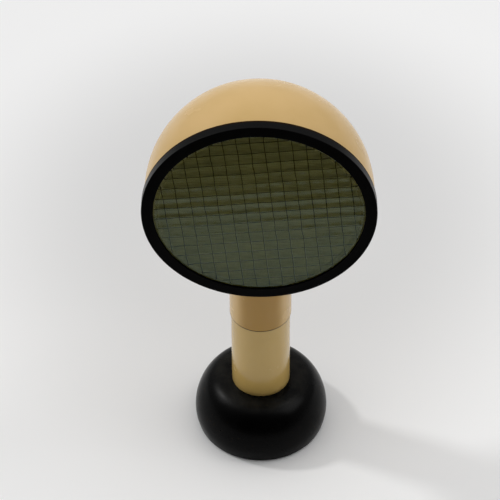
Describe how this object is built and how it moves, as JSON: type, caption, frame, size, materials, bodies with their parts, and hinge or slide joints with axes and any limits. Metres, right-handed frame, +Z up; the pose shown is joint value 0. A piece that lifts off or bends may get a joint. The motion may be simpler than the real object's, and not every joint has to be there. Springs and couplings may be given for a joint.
{
  "type": "tabletop searchlight lamp",
  "caption": "Table lamp with a round drum-front dome head, black bezel and wired glass, turning on a thick tube stem in a heavy rounded black base.",
  "frame": {"origin": "centre of the base's underside, on the table", "axes": "+Z up along the stem, -Y the way the glass faces, +X to the right seen from the glass"},
  "size_m": [0.22, 0.1651, 0.461],
  "materials": {
    "base_rubber": "satin black moulded rubber",
    "ballast_iron": "plain cast iron, unpainted",
    "plate_steel": "zinc plated sheet steel",
    "foot_felt": "black felt",
    "screw_steel": "zinc plated",
    "gland_plastic": "black nylon",
    "stem_enamel": "satin cream enamel on steel tube",
    "flange_steel": "machined steel",
    "cap_aluminium": "turned aluminium",
    "nipple_brass": "turned brass",
    "fibre": "red-brown fibre",
    "dome_enamel": "satin cream enamel on spun steel",
    "bakelite": "dark bakelite",
    "ceramic_holder": "white glazed ceramic",
    "bulb_glass": "clear bulb glass",
    "bezel_enamel": "gloss black enamel on aluminium",
    "glass_wired": "smoky green wired glass",
    "mesh_steel": "bright drawn wire",
    "gasket_rubber": "black rubber",
    "spring_steel": "blued spring steel"
  },
  "bodies": {
    "stand": {"base_moulding": "base_rubber", "ballast_weight": "ballast_iron", "base_plate": "plate_steel", "foot_pad": "foot_felt", "plate_screws": "screw_steel", "cord_gland": "gland_plastic", "stem_tube": "stem_enamel", "stem_flange": "flange_steel", "flange_bolts": "screw_steel", "stem_cap": "cap_aluminium", "pivot_nipple": "nipple_brass", "nipple_locknut": "nipple_brass", "pivot_nut": "nipple_brass", "friction_washer": "fibre", "spring_washer": "spring_steel", "stop_pin": "screw_steel"},
    "head": {"neck_sleeve": "dome_enamel", "neck_plate": "flange_steel", "stop_peg": "screw_steel", "dome_shell": "dome_enamel", "switch_housing": "bakelite", "holder_ring_nut": "nipple_brass", "lampholder_body": "ceramic_holder", "lampholder_shell": "nipple_brass", "centre_contact": "nipple_brass", "bulb_cap": "nipple_brass", "bulb_glass": "bulb_glass"},
    "bezel": {"bezel_ring": "bezel_enamel", "wired_glass": "glass_wired", "wire_mesh": "mesh_steel", "glass_gasket": "gasket_rubber", "retaining_ring": "spring_steel", "retainer_screws": "screw_steel", "bezel_clips": "spring_steel"},
    "button": {"switch_button": "bakelite"}
  },
  "joints": [
    {"name": "head_swivel", "type": "hinge", "parent": "stand", "child": "head", "pos_m": [0, 0, 0.21], "axis": [0, 0, 1], "range_deg": [-165, 165]},
    {"name": "bezel_pull", "type": "slide", "parent": "head", "child": "bezel", "axis": [0, -1, 0], "range_m": [0, 0.03]},
    {"name": "switch_press", "type": "slide", "parent": "head", "child": "button", "axis": [0, -1, 0], "range_m": [0, 0.003], "stiffness_N_per_m": 500, "springref_m": -0.002}
  ]
}
